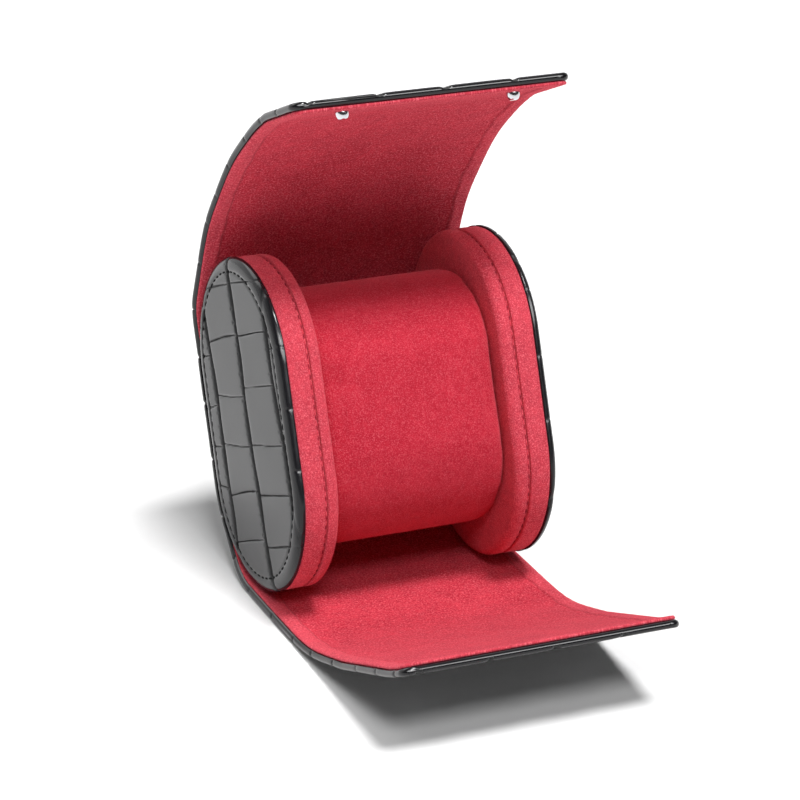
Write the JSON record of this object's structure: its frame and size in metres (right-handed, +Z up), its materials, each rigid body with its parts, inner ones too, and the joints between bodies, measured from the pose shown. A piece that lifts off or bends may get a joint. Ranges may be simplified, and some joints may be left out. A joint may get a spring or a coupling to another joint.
{
  "type": "watch travel case",
  "caption": "Two oval end caps in a wide leather wrap, with a soft cushion between them and two flaps that roll round the front and snap together.",
  "frame": {"origin": "centre of the flat strip under the middle panel of the wrap, on which the open case stands", "axes": "+X along the cushion from the left cap to the right cap, +Y to the closed back, +Z up; the caps' long axis leans back from +Z by 24 degrees about X"},
  "size_m": [0.0848, 0.1576, 0.1598],
  "materials": {
    "wrap_leather": "gloss",
    "cap_leather": "satin",
    "lining_suede": "matte",
    "cap_suede": "matte",
    "cushion_suede": "matte",
    "greyboard": "matte",
    "stiffener_sheet": "matte",
    "foam": "matte",
    "snap_metal": "polished"
  },
  "bodies": {
    "case": {"left_cap_cover": "cap_leather", "left_cap_board": "greyboard", "left_cap_frame": "greyboard", "left_cap_collar": "cap_suede", "left_cap_seam": "cap_suede", "left_cap_facing": "cap_suede", "left_cap_pad": "foam", "right_cap_cover": "cap_leather", "right_cap_board": "greyboard", "right_cap_frame": "greyboard", "right_cap_collar": "cap_suede", "right_cap_seam": "cap_suede", "right_cap_facing": "cap_suede", "right_cap_pad": "foam", "back_leather": "wrap_leather", "back_padding": "foam", "back_lining": "lining_suede", "cushion_cover": "cushion_suede", "cushion_foam": "foam", "cushion_tube": "greyboard", "cushion_ends": "cushion_suede"},
    "top_shoulder": {"top_shoulder_leather": "wrap_leather", "top_shoulder_stiffener": "stiffener_sheet", "top_shoulder_lining": "lining_suede"},
    "top_crown": {"top_crown_leather": "wrap_leather", "top_crown_stiffener": "stiffener_sheet", "top_crown_lining": "lining_suede"},
    "top_front": {"snap_studs": "snap_metal", "stud_rivets": "snap_metal", "top_front_leather": "wrap_leather", "top_front_stiffener": "stiffener_sheet", "top_front_lining": "lining_suede"},
    "bottom_shoulder": {"bottom_shoulder_leather": "wrap_leather", "bottom_shoulder_stiffener": "stiffener_sheet", "bottom_shoulder_lining": "lining_suede"},
    "bottom_crown": {"bottom_crown_leather": "wrap_leather", "bottom_crown_stiffener": "stiffener_sheet", "bottom_crown_lining": "lining_suede"},
    "bottom_front": {"snap_sockets": "snap_metal", "socket_rivets": "snap_metal", "bottom_front_leather": "wrap_leather", "bottom_front_stiffener": "stiffener_sheet", "bottom_front_lining": "lining_suede"}
  },
  "joints": [
    {"name": "top_flap", "type": "hinge", "parent": "case", "child": "top_shoulder", "pos_m": [0, 0.04652, 0.08509], "axis": [1, 0, 0], "range_deg": [0, 32]},
    {"name": "top_crown_fold", "type": "hinge", "parent": "top_shoulder", "child": "top_crown", "pos_m": [0, 0.03305, 0.11397], "axis": [1, 0, 0], "range_deg": [0, 32]},
    {"name": "top_front_fold", "type": "hinge", "parent": "top_crown", "child": "top_front", "pos_m": [0, 0.0153, 0.13499], "axis": [1, 0, 0], "range_deg": [0, 28]},
    {"name": "bottom_flap", "type": "hinge", "parent": "case", "child": "bottom_shoulder", "pos_m": [0, -0.00468, 0.0033], "axis": [-1, 0, 0], "range_deg": [0, 31]},
    {"name": "bottom_crown_fold", "type": "hinge", "parent": "bottom_shoulder", "child": "bottom_crown", "pos_m": [0, -0.02379, 0.00347], "axis": [-1, 0, 0], "range_deg": [0, 31]},
    {"name": "bottom_front_fold", "type": "hinge", "parent": "bottom_crown", "child": "bottom_front", "pos_m": [0, -0.051, 0.00793], "axis": [-1, 0, 0], "range_deg": [0, 29]}
  ],
  "couplings": [
    {"joint": "top_crown_fold", "follows": "top_flap", "ratio": 1},
    {"joint": "top_front_fold", "follows": "top_flap", "ratio": 0.875},
    {"joint": "bottom_crown_fold", "follows": "bottom_flap", "ratio": 1},
    {"joint": "bottom_front_fold", "follows": "bottom_flap", "ratio": 0.93548}
  ]
}
